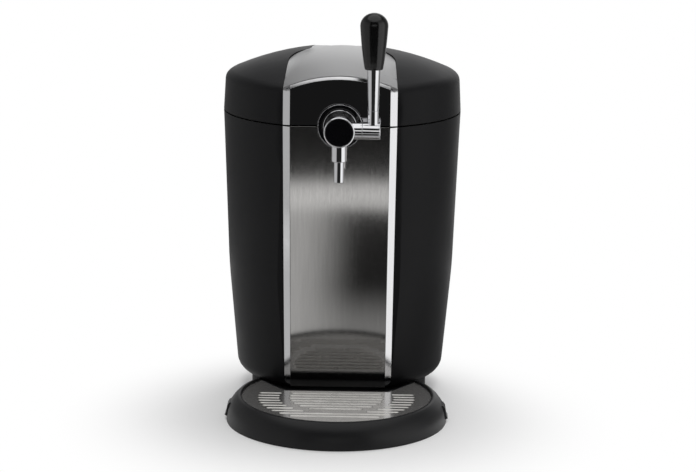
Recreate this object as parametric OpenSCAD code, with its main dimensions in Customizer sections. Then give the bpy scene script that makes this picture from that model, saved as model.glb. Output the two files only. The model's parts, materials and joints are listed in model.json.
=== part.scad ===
// Countertop beer dispenser for a five litre keg.
// Each module is one separate piece. The pieces are drawn round the keg's upright
// axis and moved back together, so the origin lies under the middle of the footprint.

/* [Body] */
// Radius of the round body at the seam with the lid
seam_r = 135.2; // [134:0.5:140]
// How far the soft break in the side lies inside that radius
knee_in = 6.4; // [5:0.1:8]
// How far the side lies inside it just above the rounded lower corner
foot_in = 16; // [14:0.1:18]
// Height of the soft break in the body's side
knee_z = 142; // [120:1:170]
// Height of the body's underside
body_z = 17; // [16:0.5:18]
// Radius of the body's rounded lower corner
corner_r = 16; // [14:0.5:18]
// Wall of the body shell, the lid shell and the tray
wall = 2.6; // [2:0.1:3]
// Dark gap between the body and the lid
seam_gap = 1.6; // [1:0.1:2]

/* [Front] */
// Depth that the flat front takes off the round body at the seam
face_in = 14.4; // [13.8:0.1:15]
// Lean of the body's flat front, in degrees
body_lean = 3.28; // [3:0.01:3.5]
// Lean of the lid's flat front, in degrees
lid_lean = 4.3; // [3.5:0.1:5]
// Thickness of the front panels
face_t = 1.5; // [1:0.1:1.8]
// How far the bright strips stand proud of the round body
trim_proud = 0.3; // [0.2:0.1:0.6]
// Width of a bright strip
trim_w = 7.6; // [6:0.1:9]
// How far the strips reach past the edge of the flat front at the seam
trim_over = 1.9; // [1:0.1:2.2]
// How far a strip runs inwards from the seam to its lower end
trim_draw = 2.7; // [2:0.1:4]
// Height of the panel's lower edge
panel_z = 21; // [20:0.5:26]
// Outer radius of the rosette behind the tap
rosette_r = 25.4; // [24:0.1:27]
// How far the rosette stands out from the panels
rosette_h = 3.2; // [2.5:0.1:4]

/* [Lid] */
// How far the lid's wall is drawn in below its rounded shoulder
shoulder_in = 1.9; // [1:0.1:3]
// Height of the lid's wall from the seam to the shoulder
shoulder_h = 35.5; // [34:0.5:37]
// Height from the seam to the top of the dome
dome_h = 71.7; // [70:0.1:74]
// Fall of the dome from its middle to the shoulder
dome_drop = 26.5; // [24:0.1:29]
// Thickness of the silver panel on the lid
top_t = 2.4; // [2:0.1:2.8]
// Half the width of the silver panel where it runs over the lid
tail_x = 36; // [32:1:40]
// Height of the bright strip under the silver panel's front edge
arch_h = 2.2; // [1.5:0.1:3]
// How far that strip stands out from the gloss panel
arch_out = 3; // [2:0.1:3.4]

/* [Chamber] */
// Inner radius of the keg chamber
liner_r = 88; // [87:0.1:88.5]
// Wall of the chamber liner
liner_t = 1.5; // [1:0.1:1.8]
// Height of the keg's resting surface
keg_z = 57; // [56:0.5:58]
// Height of the keg
keg_h = 250.4; // [249:0.1:252]
// Height from the keg's top to the seam between the body and the lid
keg_room = 14.6; // [14:0.1:16]
// How far the foam round the chamber lies inside the seam radius
foam_in = 27.2; // [26.8:0.1:29]

/* [Cooling] */
// Side of the cold block
block_w = 60; // [50:1:64]
// Side of the thermoelectric module
chip_w = 40; // [35:1:45]
// Thickness of the thermoelectric module
chip_t = 3.8; // [3.2:0.1:4.2]
// Side of the heat sink and of the fan
fan_w = 92; // [90:1:96]
// Depth of the heat sink's fins
fin_d = 24; // [20:1:28]
// Depth of the fan
fan_d = 25; // [22:1:28]
// Height of the middle of the cooling stack
cool_z = 170; // [165:1:190]

/* [Rear cover] */
// Half the width of the rear cover
cover_x = 78; // [76:1:82]
// How far the rear cover's top lies below the seam
cover_drop = 14; // [13:0.5:18]
// Number of slots in the rear cover's grille
vent_count = 11; // [7:1:12]
// Height of one slot in the rear cover
vent_h = 4; // [3:0.5:4.5]

/* [Tap] */
// Radius of the shank that carries the tap
shank_r = 8; // [7.5:0.1:8.4]
// Radius of the tap's neck behind the barrel
neck_r = 15.4; // [15:0.1:16.5]
// Radius of the tap's barrel
barrel_r = 14.6; // [14:0.1:15]
// Radius of the ring round the tap's front cap
bezel_r = 16.7; // [16:0.1:18]
// How far the tap stands out from the flat front at the seam
tap_reach = 42.4; // [42:0.1:44]
// Distance from the tap's front to the lever's and the spout's axes
lever_back = 13.2; // [13:0.1:14]
// Distance from the middle plane to the lever's stem
lever_x = 36.3; // [36:0.1:38]
// Radius of the side arm that the lever turns on
arm_r = 9.2; // [8.5:0.1:9.6]
// Place of the joint between the fixed and the turning parts of the arm
arm_joint_x = 24.8; // [23:0.1:26]
// Length of the turning part of the arm
hub_w = 19.6; // [18:0.1:22]
// Height from the seam to the handle's lower end
stem_h = 67.4; // [66:0.1:70]
// Length of the handle
handle_h = 61.1; // [58:0.1:66]
// Greatest radius of the handle
handle_r = 15.2; // [13:0.1:17]
// Radius of the spout's upper sleeve
sleeve_r = 8.4; // [7.5:0.1:8.8]
// Radius of the spout's nozzle
nozzle_r = 5.6; // [5:0.1:6]
// Length of the spout below the seam
spout_h = 56.8; // [52:0.1:64]

/* [Tray] */
// Radius of the tray at the floor
tray_r = 121.5; // [119:0.5:122]
// Distance from the body's seam radius to the middle of the tray
tray_ahead = 20.8; // [20:0.1:22]
// Height of the tray's rim
rim_z = 28; // [27:0.5:30]
// How far the grille plate lies inside the tray's radius
plate_in = 16.5; // [16.5:0.5:18]
// Height of the grille plate's upper face
plate_z = 25.6; // [24:0.1:26]
// Thickness of the grille plate
plate_t = 1.5; // [1:0.1:2]
// Rows of slots in the grille plate
row_count = 10; // [6:1:10]
// Distance from one row of slots to the next
row_pitch = 9.55; // [9:0.05:9.6]
// Width of one slot
slot_w = 4.6; // [4:0.1:5]
// Width of the plain rim round the plate's slots
slots_in = 18; // [15:0.5:25]
// Radius of the plain ring that the glass stands on
ring_r = 57.4; // [50:0.1:60]
// Width of the plain ring
ring_w = 9.9; // [7:0.1:12]

/* [Fits] */
// Gap between pieces that lie loosely beside each other
gap = 0.3; // [0.25:0.05:0.4]
// Radial clearance of a shaft that turns or slides in its bore
run = 0.06; // [0.03:0.01:0.09]

/* [Hidden] */
$fn = 96;
eps = 0.01;
far = 400;

// Heights of the seam and of what is set out from it
seam_z = keg_z + keg_h + keg_room;
shoulder_z = seam_z + shoulder_h;
dome_z = seam_z + dome_h;
cover_z = seam_z - cover_drop;
handle_z = seam_z + stem_h;
handle_top_z = handle_z + handle_h;
spout_z = seam_z - spout_h;

// Radii and distances from the keg axis
knee_r = seam_r - knee_in;
foot_r = seam_r - foot_in;
shoulder_r = seam_r - shoulder_in;
foam_r = seam_r - foam_in;
face_y = seam_r - face_in;
trim_x = sqrt(seam_r * seam_r - face_y * face_y) + trim_over;
trim_foot_x = trim_x - trim_draw;
tap_y = face_y + tap_reach;
lever_y = tap_y - lever_back;
tray_y = seam_r + tray_ahead;

// Cooling stack, from the chamber's foam to the rear cover
liner_ro = liner_r + liner_t;
chip_y = foam_r - 2;
sink_y = chip_y + chip_t;
sink_t = 5;
fan_y = sink_y + sink_t + fin_d;
cover_in_y = fan_y + fan_d + gap;
cover_y = cover_in_y + wall;
flange_t = 1.8;

// Footprint and the shift that puts the origin under its middle
front_reach = tray_y + tray_r;
rear_reach = cover_y + flange_t;
keg_y = (front_reach - rear_reach) / 2;

// Seam, deck and lid levels
body_top = seam_z - seam_gap / 2;
lid_low = seam_z + seam_gap / 2;
deck_top = body_top - 2;
deck_t = 3;
liner_z = keg_z - 3 - liner_t;
board_z = body_z + 5.5;
foam_floor = liner_z - board_z - 21.5;
lid_plate_z = lid_low + 0.4;
lid_plate_t = 2.2;
lid_slope = (seam_r - shoulder_r) / (shoulder_z - lid_low);
lid_plate_r = seam_r - wall - gap - lid_slope * (lid_plate_z + lid_plate_t - lid_low);
pocket_r = liner_r - 4;
pocket_top_r = pocket_r - 5;
pocket_z = seam_z + 40;

// Silver panel: a torus patch whose axis runs across the lid
path_r = 400;
cross_r = 160;
path_y = -11.3;
path_z = seam_z - 329.3;

// Hinge of the lid
hinge_y = seam_r + 8.8;
hinge_z = cover_z + 10;
hinge_r = 2.5;
knuckle_r = 6;
knuckle_x = 24;
ear_t = 6;
bracket_t = 2.5;

// Tap
collar_y = face_y - 0.2;
flange_y = face_y + rosette_h + 0.2;
neck_y = tap_y - 31.2;
bezel_y = tap_y - 4.2;
bore_r = 9;
ferrule_z = seam_z + 22.6;

// Tray
plate_r = tray_r - plate_in;
slots_r = plate_r - slots_in;
back_x = 58;
back_y = tray_y - 18;
tip_x = back_x + 27.4;
tip_y = back_y - 39;
back_a = atan2(back_y - tip_y, tip_x - back_x);
tray_wall = 3;
floor_z = 8;
under_z = 5.6;
glass_y = tray_y + 6.4;
first_row_y = back_y + 10.2;
plinth_x = foot_r - 19.7;
plinth_step_y = 61;
plinth_front_x = plinth_x - 7;
plinth_front_y = tip_y - 6;
plinth_back_y = cover_y - 16.7;
plinth_low = 1.5;
dock_x = back_x - 12.5;
dock_y = tray_y + 56;
foot_h = 3;

// ---------- helpers ----------

// Moves a piece from the keg's axis to the part's origin
module on_keg_axis() translate([0, keg_y, 0]) children();

// Frames of the two flat fronts: local Y = 0 is the face of the panel
module on_body_face() translate([0, -face_y, seam_z]) rotate([body_lean, 0, 0]) children();
module on_lid_face() translate([0, -face_y, seam_z]) rotate([-lid_lean, 0, 0]) children();

// Everything ahead of a plane that lies off behind the panel's face
module ahead(off) translate([-far / 2, off - far, -far]) cube([far, far, 2 * far]);

// A plate of thickness t whose outline is drawn in X and Z
module upright(t, y) translate([0, y + t, 0]) rotate([90, 0, 0]) linear_extrude(t) children();

// Axis of the tap: local Z runs from depth y towards the front
module on_tap_axis(y) translate([0, -y, seam_z]) rotate([90, 0, 0]) children();

// Cylinder along X
module rod_x(r, x0, x1) translate([x0, 0, 0]) rotate([0, 90, 0]) cylinder(r = r, h = x1 - x0);

// Cylinder along Y
module rod_y(r, y0, y1) translate([0, y0, 0]) rotate([-90, 0, 0]) cylinder(r = r, h = y1 - y0);

// Block from its middle in X, its near face in Y and its bottom in Z
module block(w, d, h) translate([-w / 2, 0, 0]) cube([w, d, h]);

module rounded_rect(w, h, r) {
    square([w - 2 * r, h], center = true);
    square([w, h - 2 * r], center = true);
    for (x = [-1, 1], y = [-1, 1]) translate([x * (w / 2 - r), y * (h / 2 - r)]) circle(r);
}

// Bar with round ends, lying along X
module round_bar(x0, x1, w) {
    translate([x0 + w / 2, -w / 2]) square([x1 - x0 - w, w]);
    for (x = [x0 + w / 2, x1 - w / 2]) translate([x, 0]) circle(w / 2);
}

function arc(cx, cz, r, a0, a1, n) =
    [for (i = [0:n]) let (a = a0 + (a1 - a0) * i / n) [cx + r * cos(a), cz + r * sin(a)]];

// ---------- body ----------

// Radius of the body's side, with a soft break at the knee
knee_h = 12;
corner_z = body_z + corner_r;
function low_r(z) = foot_r + (knee_r - foot_r) * (z - corner_z) / (knee_z - corner_z);
function high_r(z) = knee_r + (seam_r - knee_r) * (z - knee_z) / (body_top - knee_z);

// Outline of the body's half section, drawn in by w
function body_outline(w, top) = concat(
    [[0, body_z + w]],
    arc(foot_r - corner_r, corner_z, corner_r - w, -90, 0, 6),
    [[low_r(knee_z - knee_h) - w, knee_z - knee_h], [knee_r - 0.2 - w, knee_z],
     [high_r(knee_z + knee_h) - w, knee_z + knee_h], [seam_r - w, body_top]],
    top > body_top ? [[seam_r - w, top]] : [],
    [[0, top]]
);

module body_solid(w, top) rotate_extrude() polygon(body_outline(w, top));

// Places of the screws in the rear cover and in the plinth
cover_screw_x = cover_x - 18;
cover_screw_z = [28, cover_z - 18];
module at_cover_screws()
    for (x = [-1, 1], z = cover_screw_z) translate([x * cover_screw_x, 0, z]) children();
module at_base_screws()
    for (x = [-1, 1], y = [-1, 1]) translate([x * (plinth_x - 21.5), y * 58, 0]) children();
screw_r = 1.7;
boss_y = foam_r - 12;
stand_r = liner_ro + 2.5;

module body_shell() color([0.10, 0.10, 0.11]) on_keg_axis() difference() {
    union() {
        difference() {
            body_solid(0, body_top);
            difference() {
                body_solid(wall, seam_z + 10);
                on_body_face() ahead(face_t + wall);
            }
        }
        // ring wall under the chamber, posts and screw bosses
        translate([0, 0, body_z + wall - eps]) difference() {
            cylinder(r = stand_r + wall, h = liner_z - foam_floor - body_z - wall + eps);
            translate([0, 0, -1]) cylinder(r = stand_r, h = 60);
        }
        at_board_posts() translate([0, 0, body_z + wall - eps])
            cylinder(r = 3, h = board_z - body_z - wall + eps);
        intersection() {
            body_solid(1, body_top);
            at_cover_screws() rod_y(5, boss_y, cover_y);
        }
    }
    on_body_face() ahead(face_t);
    // window for the heat sink
    translate([0, chip_y - 6, cool_z - fan_w / 2 - 5]) block(fan_w + 10, seam_r - chip_y + 6, fan_w + 10);
    // screw holes
    at_cover_screws() rod_y(screw_r, boss_y - 1, cover_y);
    at_base_screws() translate([0, 0, body_z - 1]) cylinder(r = screw_r, h = 8);
    // notch for the shank
    on_tap_axis(face_y - 20) cylinder(r = shank_r + gap, h = 30);
}

module front_panel() color([0.62, 0.61, 0.60]) on_keg_axis() difference() {
    on_body_face() upright(face_t, 0) polygon([
        [-panel_low_x, panel_low], [panel_low_x, panel_low],
        [trim_x - trim_w, -seam_gap / 2], [-trim_x + trim_w, -seam_gap / 2]
    ]);
    on_tap_axis(face_y - 20) cylinder(r = rosette_r + gap, h = 30);
}
panel_low = (panel_z - seam_z) / cos(body_lean);
panel_low_x = trim_foot_x - trim_w + 0.9;

// The strips are the corners of the round body, beside the sunk panel
strip_reach = 8;
module body_trims() color([0.85, 0.85, 0.86]) on_keg_axis() intersection() {
    body_solid(-trim_proud, body_top, $fn = 240);
    on_body_face() for (s = [-1, 1]) upright(face_t + strip_reach, -strip_reach) polygon([
        [s * panel_low_x, panel_low], [s * trim_foot_x, panel_low],
        [s * trim_x, -seam_gap / 2], [s * (trim_x - trim_w), -seam_gap / 2]
    ]);
}

// Section of the rosette, with a softened front edge and a dished face
module rosette_ring() on_tap_axis(face_y) rotate_extrude() polygon([
    [collar_hole_r, -6], [rosette_r, -6], [rosette_r, rosette_h - 0.8],
    [rosette_r - 0.3, rosette_h - 0.2], [rosette_r - 0.9, rosette_h],
    [rosette_r - 1.6, rosette_h - 0.5], [collar_hole_r + 1, rosette_h - 0.5],
    [collar_hole_r, rosette_h]
]);
collar_flange_r = 19.1;
collar_hole_r = collar_flange_r + gap;

module rosette_lower() color([0.2, 0.2, 0.21]) on_keg_axis() intersection() {
    rosette_ring();
    on_body_face() ahead(face_t);
    translate([-50, -200, seam_z - 60]) cube([100, 200, 60 - seam_gap / 4]);
}

module body_deck() color([0.16, 0.16, 0.17]) on_keg_axis() difference() {
    intersection() {
        body_solid(wall, seam_z + 10);
        translate([0, 0, deck_top - deck_t]) cylinder(r = seam_r, h = deck_t);
    }
    cylinder(r = liner_ro, h = far);
    on_body_face() ahead(face_t + wall);
    shank_room();
}

// Room round the shank and its nut, taken out of what they pass through
nut_r = 13;
nut_y = face_y - 5.6;
nut_h = 9;
module shank_room() {
    on_tap_axis(60) cylinder(r = shank_r + gap, h = 80);
    on_tap_axis(nut_y - nut_h - gap) cylinder(r = nut_r + gap, h = 40);
}

module chamber_liner() color([0.78, 0.79, 0.80]) on_keg_axis() difference() {
    rotate_extrude() polygon([
        [0, liner_z], [liner_ro - 4, liner_z], [liner_ro, liner_z + 4], [liner_ro, deck_top],
        [liner_r, deck_top], [liner_r, liner_z + 4 + liner_t], [liner_r - 4, liner_z + liner_t],
        [0, liner_z + liner_t]
    ]);
    shank_room();
}

module keg_pad() color([0.12, 0.12, 0.12]) on_keg_axis() translate([0, 0, liner_z + liner_t])
    difference() {
        cylinder(r = liner_r - 12, h = keg_z - liner_z - liner_t);
        for (a = [0:45:315]) rotate([0, 0, a]) translate([liner_r - 38, 0, -1]) cylinder(r = 6, h = 10);
    }

module chamber_foam() color([0.9, 0.9, 0.88]) on_keg_axis() difference() {
    rotate_extrude() polygon([
        [0, liner_z - foam_floor], [foam_r - 8, liner_z - foam_floor],
        [foam_r, liner_z - foam_floor + 8], [foam_r, deck_top - deck_t],
        [liner_ro, deck_top - deck_t], [liner_ro, liner_z + 4], [liner_ro - 4, liner_z],
        [0, liner_z]
    ]);
    on_body_face() ahead(face_t + wall + gap);
    // pocket for the cold block and its sensor
    translate([0, liner_r - 28, cool_z - block_w / 2 - gap])
        block(block_w + 2 * gap, foam_r - liner_r + 30, block_w + 12);
    shank_room();
}

// ---------- stand ----------

// Outline of the broad part of the stand, under the round body
module broad_outline(w) translate([0, (plinth_back_y - plinth_step_y) / 2])
    rounded_rect(2 * plinth_x - 2 * w, plinth_back_y + plinth_step_y - 2 * w, 13);

// Outline of the whole stand, with the tongue that fills the tray's notch
module plinth_outline(w) {
    tongue_y = back_y - tray_wall - 2 * gap;
    cut = tray_wall + 2 * gap;
    corner_x = back_x - cut * tan(back_a / 2);
    side_x = corner_x + (tongue_y - plinth_front_y) / tan(back_a);
    broad_outline(w);
    translate([0, -plinth_front_y / 2])
        rounded_rect(2 * plinth_front_x - 2 * w, plinth_front_y - 2 * w, 12);
    polygon([[-side_x + w, -plinth_front_y + 14], [-side_x + w, -plinth_front_y],
             [-corner_x + w / 2, -tongue_y + w], [corner_x - w / 2, -tongue_y + w],
             [side_x - w, -plinth_front_y], [side_x - w, -plinth_front_y + 14]]);
}

foot_x = plinth_x - 19.5;
foot_front_y = plinth_front_y - 19;
foot_back_y = plinth_back_y - 20;
module at_feet() for (x = [-1, 1], y = [-foot_front_y, foot_back_y])
    translate([x * foot_x, y, 0]) children();

module base_plinth() color([0.09, 0.09, 0.10]) on_keg_axis() difference() {
    union() {
        difference() {
            translate([0, 0, plinth_low]) linear_extrude(body_z - plinth_low) plinth_outline(0);
            translate([0, 0, plinth_low - 1]) linear_extrude(body_z - plinth_low - 1.5)
                plinth_outline(tray_wall);
        }
        at_feet() translate([0, 0, foot_h]) cylinder(r = 11, h = body_z - foot_h - eps);
        at_base_screws() translate([0, 0, 5]) cylinder(r = 6, h = body_z - 5 - eps);
        // the broad part's front rises to meet the body's rounded edge
        difference() {
            intersection() {
                translate([0, 0, body_z - eps]) linear_extrude(corner_r / 2) broad_outline(0);
                translate([-far / 2, -far, 0]) cube(far);
            }
            body_solid(0, body_top);
        }
        // tongue that the tray slides on
        translate([0, -dock_y, plinth_low])
            block(2 * dock_x, dock_y - back_y + 18, under_z - plinth_low - gap);
    }
    at_base_screws() cylinder(r = screw_r, h = 20);
    at_base_screws() cylinder(r = 3.6, h = 8);
    // room for the front feet's bosses to end above the floor
    translate([0, 0, -far]) cylinder(r = far, h = far + plinth_low);
}

module base_feet() color([0.06, 0.06, 0.06]) on_keg_axis() at_feet() rotate_extrude()
    polygon([[0, 0], [8.2, 0], [9.5, 1.2], [9.5, foot_h], [0, foot_h]]);

module screw(head_r, head_h, shaft_h) {
    difference() {
        rotate_extrude() polygon([[0, 0], [head_r, 0], [head_r, head_h * 0.5],
                                  [head_r * 0.7, head_h], [0, head_h]]);
        for (a = [0, 90]) rotate([0, 0, a]) translate([0, 0, head_h])
            cube([head_r * 1.1, 0.7, head_h], center = true);
    }
    translate([0, 0, -shaft_h]) cylinder(r = screw_r, h = shaft_h + eps);
}

module base_screws() color([0.7, 0.7, 0.72]) on_keg_axis() at_base_screws()
    translate([0, 0, 8]) rotate([180, 0, 0]) screw(3.4, 2, body_z - 8 + 6);

// ---------- cooling ----------

module cold_block() color([0.75, 0.76, 0.78]) on_keg_axis() difference() {
    translate([0, liner_r - 12, cool_z - block_w / 2]) block(block_w, chip_y - liner_r + 12, block_w);
    translate([0, 0, cool_z - block_w]) cylinder(r = liner_ro, h = 2 * block_w);
    translate([0, sensor_y, cool_z + block_w / 2 - 12]) cylinder(r = 2.5, h = 20);
    translate([0, 0, cool_z]) rod_x(1.5, -block_w, -block_w / 2 + 10);
}
sensor_y = chip_y - 7;

module temperature_sensor() color([0.2, 0.2, 0.2]) on_keg_axis()
    translate([0, sensor_y, cool_z + block_w / 2 - 12]) {
        cylinder(r = 2.5, h = 12);
        translate([0, 0, 12]) cylinder(r = 3.6, h = 3);
    }

module cooling_module() color([0.93, 0.93, 0.91]) on_keg_axis()
    translate([0, chip_y, cool_z - chip_w / 2]) {
        block(chip_w, 0.9, chip_w);
        translate([0, 0.9 - eps, 1.2]) block(chip_w - 2.4, chip_t - 1.8 + 2 * eps, chip_w - 2.4);
        translate([0, chip_t - 0.9, 0]) block(chip_w, 0.9, chip_w);
    }

fin_count = 15;
fin_t = 1.2;
fin_side = (fin_count - 1) / 2;
fin_pitch = (fan_w - 2 * fin_t) / (fin_count - 1);
fan_hole_x = fin_pitch * (fin_side - 0.5);
module at_fan_screws()
    for (x = [-1, 1], z = [-1, 1]) translate([x * fan_hole_x, 0, cool_z + z * fan_hole_x]) children();

module heat_sink() color([0.72, 0.73, 0.75]) on_keg_axis() difference() {
    union() {
        translate([0, sink_y, cool_z - fan_w / 2]) block(fan_w, sink_t, fan_w);
        for (i = [-fin_side:fin_side]) translate([i * fin_pitch, sink_y + sink_t - eps, cool_z - fan_w / 2])
            block(fin_t, fin_d + eps, fan_w);
    }
    at_fan_screws() rod_y(screw_r, sink_y + 1, sink_y + 10);
}

fan_r = fan_w / 2 - 2.5;
blade_r = fan_r - 1;
motor_r = 18;
motor_t = 3;
shaft_r = 1.5;
module fan_frame() color([0.1, 0.1, 0.1]) on_keg_axis() difference() {
    union() {
        // two square flanges joined by the duct
        for (y = [fan_y, fan_y + fan_d - fan_flange]) translate([0, y + fan_flange, cool_z])
            rotate([90, 0, 0]) linear_extrude(fan_flange) difference() {
                rounded_rect(fan_w, fan_w, 4);
                circle(fan_r);
            }
        translate([0, 0, cool_z]) difference() {
            rod_y(fan_r + 1.8, fan_y + 1, fan_y + fan_d - 1);
            rod_y(fan_r, fan_y, fan_y + fan_d);
        }
        // motor mount on four struts
        translate([0, 0, cool_z]) rod_y(motor_r, fan_y + fan_d - motor_t, fan_y + fan_d - 0.5);
        for (a = [45:90:315]) translate([0, fan_y + fan_d - motor_t + 0.3, cool_z])
            rotate([0, a, 0]) translate([0, 0, motor_r - 3])
                translate([-2, 0, 0]) cube([4, motor_t - 1, fan_r - motor_r + 4]);
    }
    translate([0, 0, cool_z]) rod_y(shaft_r + run, fan_y, fan_y + fan_d + 1);
    at_fan_screws() rod_y(screw_r, fan_y - 1, fan_y + 10);
    // the screws' heads go in through the back flange
    at_fan_screws() rod_y(fan_head_r + gap, fan_y + fan_flange + 1, fan_y + fan_d + 1);
}
fan_flange = 4;
fan_head_r = 3;

module fan_rotor() color([0.16, 0.16, 0.16]) on_keg_axis() translate([0, 0, cool_z]) {
    hub_back = fan_y + fan_d - motor_t - gap;
    rod_y(motor_r, fan_y + 1, hub_back);
    rod_y(shaft_r, fan_y + 2, fan_y + fan_d - 1);
    for (i = [0:6]) rotate([0, i * 360 / 7, 0]) intersection() {
        translate([0, (fan_y + 1 + hub_back) / 2, 0]) rotate([38, 0, 0])
            translate([motor_r - 2, -0.8, -12]) cube([blade_r, 1.6, 24]);
        rod_y(blade_r, fan_y + 1.5, hub_back - 0.5);
    }
}

module fan_screws() color([0.7, 0.7, 0.72]) on_keg_axis() at_fan_screws()
    translate([0, fan_y + fan_flange, 0]) rotate([-90, 0, 0])
        screw(fan_head_r, 2, fan_y + fan_flange - sink_y - 1);

// ---------- electrics ----------

board_x = 54;
board_y = 36;
module at_board_posts() for (x = [-1, 1], y = [-1, 1])
    translate([x * (board_x - 4), y * (board_y - 4), 0]) children();

module power_board() color([0.1, 0.35, 0.18]) on_keg_axis() translate([0, 0, board_z]) {
    translate([0, -board_y, 0]) block(2 * board_x, 2 * board_y, 1.6);
    for (x = [-40, -26, -12]) translate([x, 16, 1.5]) cylinder(r = 5, h = 14);
    translate([-30, -18, 1.5]) block(26, 3, 14);
    translate([30, 20, 1.5]) block(20, 8, 10);
}

module transformer() color([0.75, 0.6, 0.25]) on_keg_axis() translate([24, -16, board_z + 1.6]) {
    block(32, 26, 5);
    translate([0, 4, 5 - eps]) block(26, 18, 9 + eps);
    translate([0, 0, 14 - eps]) block(32, 26, 4 + eps);
}

// ---------- rear cover ----------

inlet_x = -36;
socket_z = 46;
switch_x = 34;
module cover_plan(w) translate([0, (cover_y - w) / 2])
    rounded_rect(2 * cover_x - 2 * w, cover_y - w, 18 - w);

module vents() {
    vent_pitch = 2 * vent_h;
    for (i = [0:vent_count - 1])
        translate([0, cover_y + 1, cool_z + (i - (vent_count - 1) / 2) * vent_pitch])
            rotate([90, 0, 0]) linear_extrude(wall + 2) round_bar(-44, 44, vent_h);
    for (s = [-1, 1], i = [0:5]) translate([s * cover_x, cover_y - 34, 86 + i * vent_pitch])
        rotate([0, 90, 0]) linear_extrude(3 * wall, center = true) rotate([0, 0, 90])
            round_bar(-11, 11, vent_h);
}

module rear_cover() color([0.10, 0.10, 0.11]) on_keg_axis() difference() {
    union() {
        difference() {
            translate([0, 0, body_z + 2]) linear_extrude(cover_z - body_z - 2) cover_plan(0);
            translate([0, 0, body_z + 2 + wall]) linear_extrude(cover_z - body_z - 2 - 2 * wall)
                cover_plan(wall);
        }
        at_cover_screws() rod_y(5, boss_y, cover_y - eps);
        at_hinge_screws() translate([0, 0, cover_z - 10]) cylinder(r = 3.6, h = 9);
    }
    body_solid(0, body_top);
    vents();
    at_cover_screws() rod_y(screw_r, boss_y, far);
    at_cover_screws() rod_y(3.7, cover_y - 2, far);
    at_hinge_screws() translate([0, 0, cover_z - 8]) cylinder(r = screw_r, h = 20);
    translate([inlet_x, far, socket_z]) rotate([90, 0, 0]) linear_extrude(far - cover_y + 10)
        rounded_rect(46, 26, 3);
    translate([switch_x, far, socket_z]) rotate([90, 0, 0]) linear_extrude(far - cover_y + 10)
        rounded_rect(27, 19, 1.5);
}

module cover_screws() color([0.2, 0.2, 0.2]) on_keg_axis() at_cover_screws()
    translate([0, cover_y - 2, 0]) rotate([-90, 0, 0]) screw(3.4, 1.9, cover_y - 4 - boss_y);

module power_inlet() color([0.08, 0.08, 0.08]) on_keg_axis()
    translate([inlet_x, cover_y, socket_z]) difference() {
        union() {
            rotate([-90, 0, 0]) linear_extrude(flange_t) rounded_rect(50, 31, 4);
            translate([0, eps, 0]) rotate([90, 0, 0]) linear_extrude(22) rounded_rect(45.4, 25.4, 3);
        }
        translate([0, 3, 0]) rotate([90, 0, 0]) linear_extrude(21) difference() {
            rounded_rect(26, 18, 1.5);
            for (s = [-1, 1]) translate([s * 13, -9]) rotate([0, 0, 45]) square(6, center = true);
        }
    }

module inlet_pins() color([0.8, 0.7, 0.4]) on_keg_axis() translate([inlet_x, cover_y, socket_z])
    for (p = [[-7, -2], [0, 3], [7, -2]]) translate([p[0], -18, p[1]])
        translate([0, 0, -2]) block(2, 13, 4);

module switch_housing() color([0.08, 0.08, 0.08]) on_keg_axis()
    translate([switch_x, cover_y, socket_z]) difference() {
        union() {
            rotate([-90, 0, 0]) linear_extrude(flange_t - 0.4) rounded_rect(31, 23, 2);
            translate([0, eps, 0]) rotate([90, 0, 0]) linear_extrude(16) rounded_rect(26.4, 18.4, 1.5);
        }
        translate([0, -11, -7]) block(22.4, 20, 14);
        rocker_axis() rod_x(1 + run, -13, 13);
    }
rocker_y = -4;
module rocker_axis() translate([0, rocker_y, 0]) children();

module switch_rocker() color([0.15, 0.15, 0.15]) on_keg_axis()
    translate([switch_x, cover_y, socket_z]) rocker_axis() {
        rod_x(1, -12.8, 12.8);
        rotate([rocker_tilt, 0, 0]) intersection() {
            translate([0, -4, -6]) block(21.4, 9, 12);
            rod_x(6.1, -11, 11);
        }
    }
rocker_tilt = 8;

// ---------- hinge ----------

module at_hinge_screws() for (x = [-1, 1]) translate([x * 14, hinge_y + 12, 0]) children();

module hinge_bracket() color([0.35, 0.35, 0.36]) on_keg_axis() difference() {
    union() {
        translate([0, hinge_y - 7, cover_z]) block(2 * (knuckle_x + ear_t + 3), 24, bracket_t);
        for (s = [-1, 1]) translate([s * (knuckle_x + gap + ear_t / 2), hinge_y, hinge_z]) {
            rod_x(knuckle_r, -ear_t / 2, ear_t / 2);
            translate([0, -knuckle_r, cover_z - hinge_z])
                block(ear_t, 2 * knuckle_r, hinge_z - cover_z);
        }
    }
    translate([0, hinge_y, hinge_z]) rod_x(hinge_r, -60, 60);
    at_hinge_screws() cylinder(r = screw_r, h = far);
}

module hinge_pin() color([0.8, 0.8, 0.82]) on_keg_axis() translate([0, hinge_y, hinge_z]) {
    reach = knuckle_x + gap + ear_t;
    rod_x(hinge_r, -reach, reach);
    for (s = [-1, 1]) translate([s * (reach + 0.75), 0, 0]) rod_x(4, -0.75, 0.75);
}

module hinge_screws() color([0.7, 0.7, 0.72]) on_keg_axis() at_hinge_screws()
    translate([0, 0, cover_z + bracket_t]) screw(3.2, 1.8, 9);

module lid_hinge_arm() color([0.30, 0.30, 0.31]) on_keg_axis() difference() {
    union() {
        translate([0, shoulder_r - 8, lid_low + 4])
            block(2 * knuckle_x, hinge_y - shoulder_r + 2.3, shoulder_h - 11.5);
        translate([0, hinge_y - 8, hinge_z]) block(2 * knuckle_x, 11, lid_low - hinge_z + 6);
        translate([0, hinge_y, hinge_z]) rod_x(knuckle_r, -knuckle_x, knuckle_x);
    }
    lid_solid(0);
    body_solid(-1.2, lid_low);
    translate([0, hinge_y, hinge_z]) rod_x(hinge_r + run, -60, 60);
    // recess that leaves two broad knuckles
    translate([0, hinge_y - 9, hinge_z - 10]) block(16, 30, 18);
}

// ---------- lid ----------

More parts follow.
